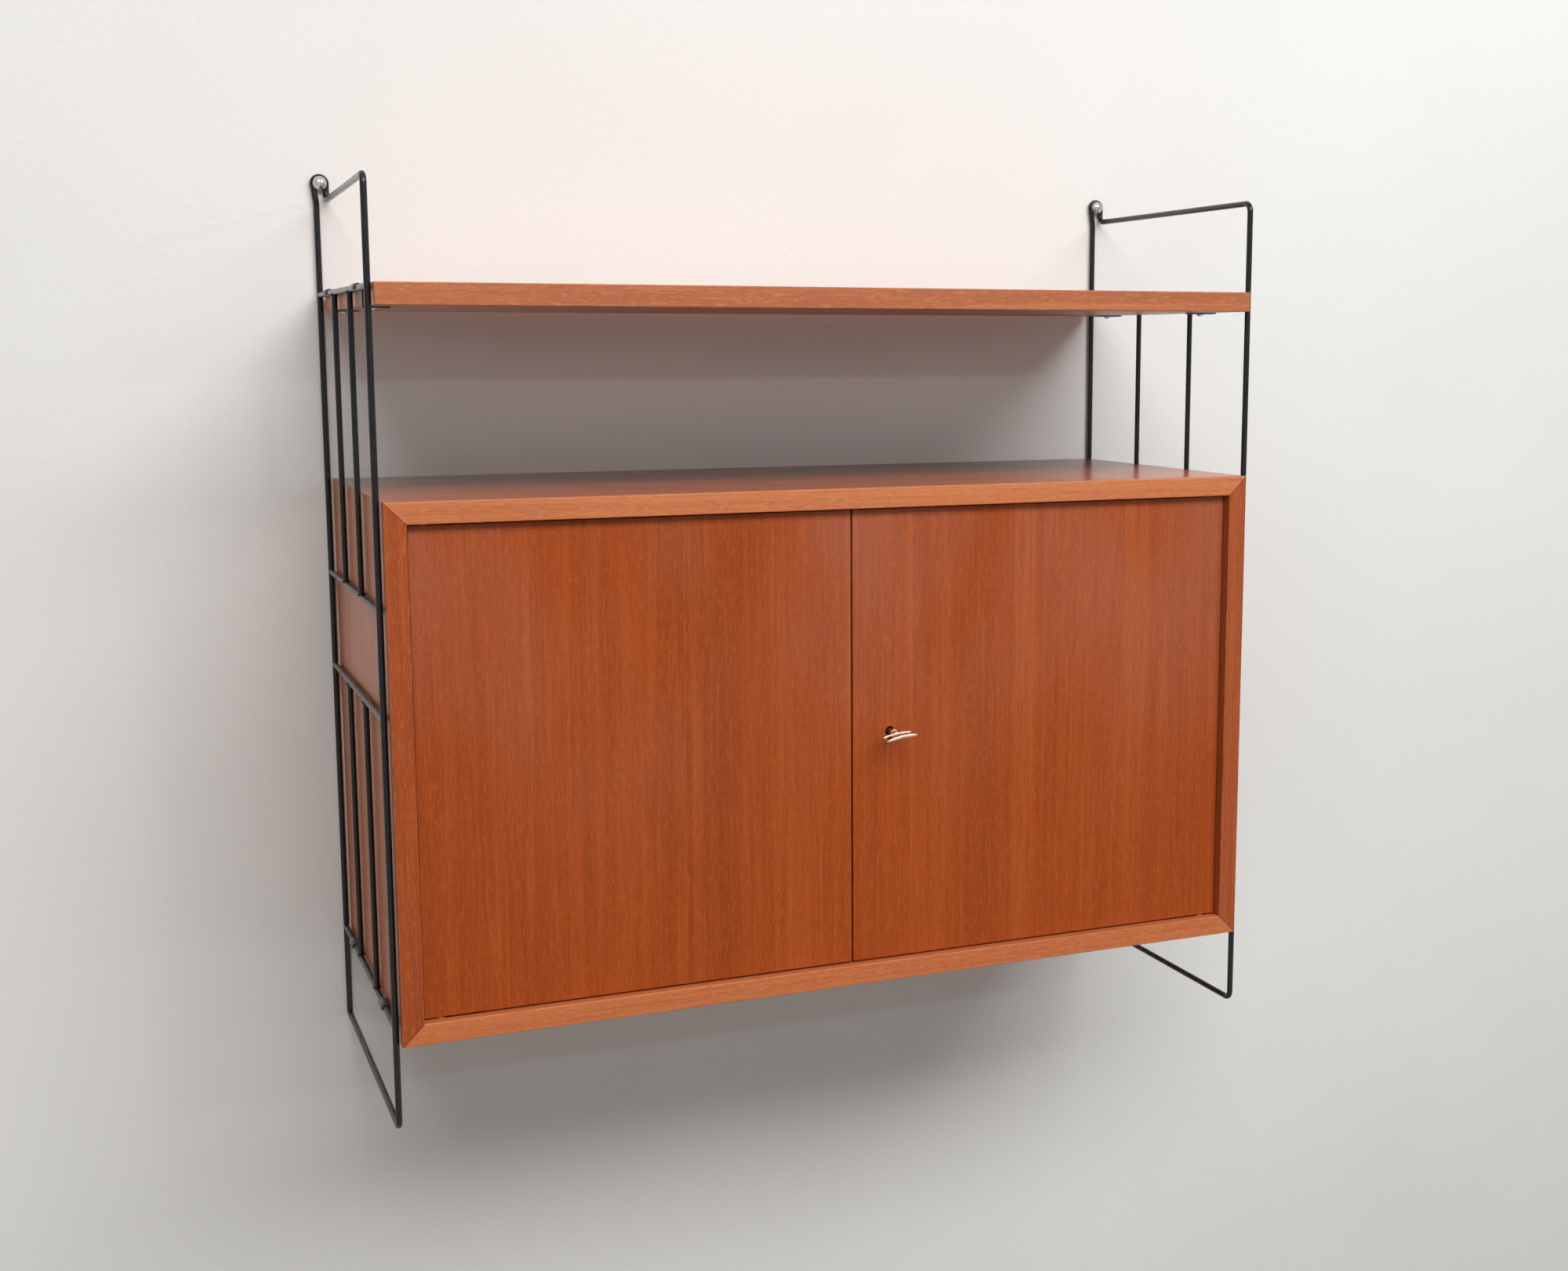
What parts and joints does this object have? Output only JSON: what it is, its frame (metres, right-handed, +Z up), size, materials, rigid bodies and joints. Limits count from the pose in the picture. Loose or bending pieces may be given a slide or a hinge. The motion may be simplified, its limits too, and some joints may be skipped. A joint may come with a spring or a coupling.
{
  "type": "wall-hung shelf and cabinet unit",
  "caption": "Wall unit of bent-wire ladders that carry an open shelf above a shallow cabinet with hinged doors, a lock and a key.",
  "frame": {"origin": "the point on the wall plane midway between the two wall screws, at the height of their axes", "axes": "+X to the right as seen from the front, +Y into the wall, +Z up; the doors face -Y"},
  "size_m": [0.8244, 0.3812, 0.7981],
  "materials": {
    "black_lacquer": "gloss lacquer",
    "veneer": "satin lacquered red-brown veneer",
    "back_board": "raw thin board",
    "bright_screws": "bright zinc plate",
    "lock_steel": "rolled steel",
    "brass_fittings": "dull brass",
    "key_metal": "worn pale plating over brass"
  },
  "bodies": {
    "frame": {"left_ladder_wire": "black_lacquer", "left_ladder_rungs": "black_lacquer", "left_ladder_rods": "black_lacquer", "right_ladder_wire": "black_lacquer", "right_ladder_rungs": "black_lacquer", "right_ladder_rods": "black_lacquer", "wall_screws": "bright_screws", "shelf": "veneer", "shelf_hooks": "black_lacquer", "shelf_hook_screws": "bright_screws", "cabinet_top": "veneer", "cabinet_bottom": "veneer", "cabinet_left_side": "veneer", "cabinet_right_side": "veneer", "cabinet_hooks": "black_lacquer", "cabinet_hook_screws": "bright_screws", "back_panel": "back_board", "back_panel_nails": "bright_screws", "inner_shelf": "veneer", "shelf_pins": "bright_screws", "door_stops": "veneer", "hinge_fixed_leaves": "brass_fittings", "hinge_fixed_screws": "brass_fittings", "hinge_washers": "brass_fittings", "slide_bolt_keeper": "brass_fittings"},
    "left_door": {"left_door": "veneer", "left_door_leaves": "brass_fittings", "left_door_pivots": "lock_steel", "left_leaf_screws": "brass_fittings", "lock_keeper": "lock_steel", "lock_keeper_screws": "lock_steel", "slide_bolt_plate": "brass_fittings", "slide_bolt_screws": "brass_fittings"},
    "left_bolt": {"slide_bolt_bar": "brass_fittings"},
    "right_door": {"right_door": "veneer", "right_door_leaves": "brass_fittings", "right_door_pivots": "lock_steel", "right_leaf_screws": "brass_fittings", "lock_case": "lock_steel", "lock_case_screws": "lock_steel", "lock_spring": "lock_steel"},
    "lock_bolt": {"lock_bolt": "brass_fittings"},
    "key": {"key": "key_metal"}
  },
  "joints": [
    {"name": "left_door_hinge", "type": "hinge", "parent": "frame", "child": "left_door", "pos_m": [-0.37, -0.3007, -0.696], "axis": [0, 0, -1], "range_deg": [0, 105]},
    {"name": "right_door_hinge", "type": "hinge", "parent": "frame", "child": "right_door", "pos_m": [0.3634, -0.3007, -0.696], "axis": [0, 0, 1], "range_deg": [0, 105]},
    {"name": "slide_bolt", "type": "slide", "parent": "left_door", "child": "left_bolt", "axis": [0, 0, 1], "range_m": [0, 0.01]},
    {"name": "key_turn", "type": "hinge", "parent": "right_door", "child": "key", "pos_m": [0.033, -0.3062, -0.48705], "axis": [0, -1, 0], "range_deg": [0, 360]},
    {"name": "lock_bolt_throw", "type": "slide", "parent": "right_door", "child": "lock_bolt", "axis": [-1, 0, 0], "range_m": [0, 0.008]}
  ],
  "couplings": [
    {"joint": "key_turn", "follows": "lock_bolt_throw", "rad_per_m": 785.39}
  ]
}
